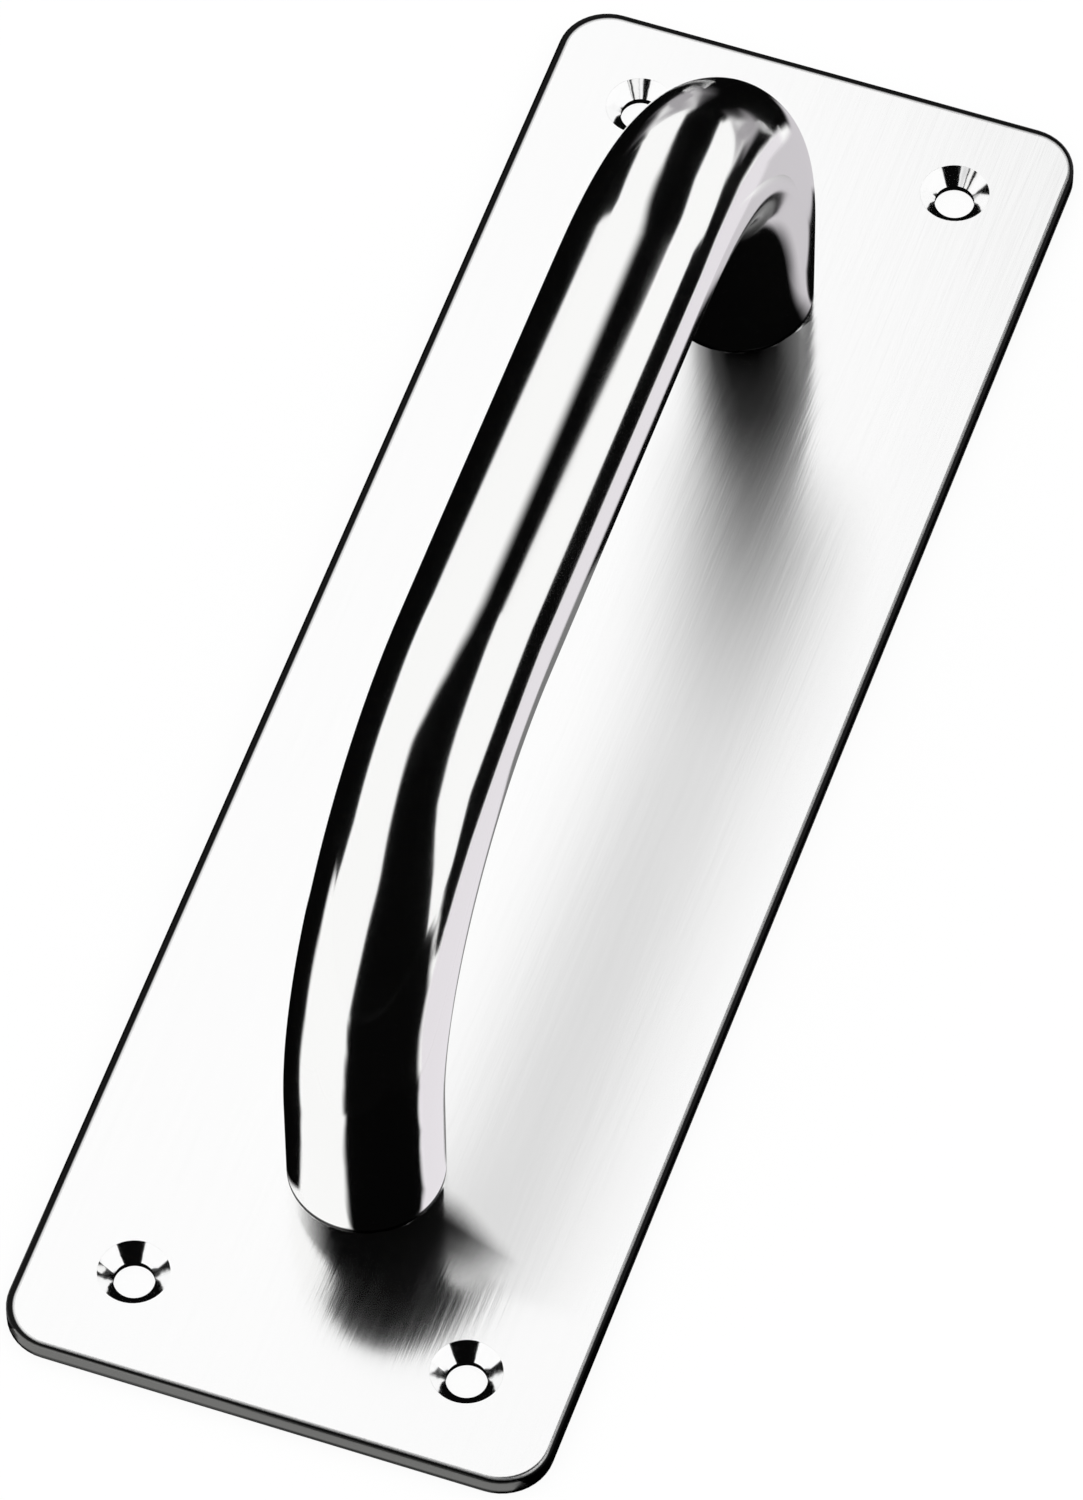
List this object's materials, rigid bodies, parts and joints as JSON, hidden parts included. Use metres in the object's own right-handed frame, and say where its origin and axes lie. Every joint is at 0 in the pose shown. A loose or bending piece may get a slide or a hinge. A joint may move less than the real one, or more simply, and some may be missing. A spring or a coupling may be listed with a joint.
{
  "type": "pull handle on a back plate",
  "caption": "D-shaped round bar pull standing on a long rounded back plate with countersunk corner holes, screwed to the face of a sliding door.",
  "frame": {"origin": "middle of the plate's back face, which lies on the door", "axes": "+Z out from the door, +Y along the plate, +X across the plate"},
  "size_m": [0.075, 0.23, 0.073],
  "materials": {
    "brushed_plate": "fine brushed stainless steel, grain along the plate",
    "polished_bar": "polished stainless steel",
    "screw_steel": "plain stainless steel"
  },
  "bodies": {
    "root": {"back_plate": "brushed_plate", "pull_bar": "polished_bar", "lower_foot_screw": "screw_steel", "upper_foot_screw": "screw_steel"}
  },
  "joints": []
}
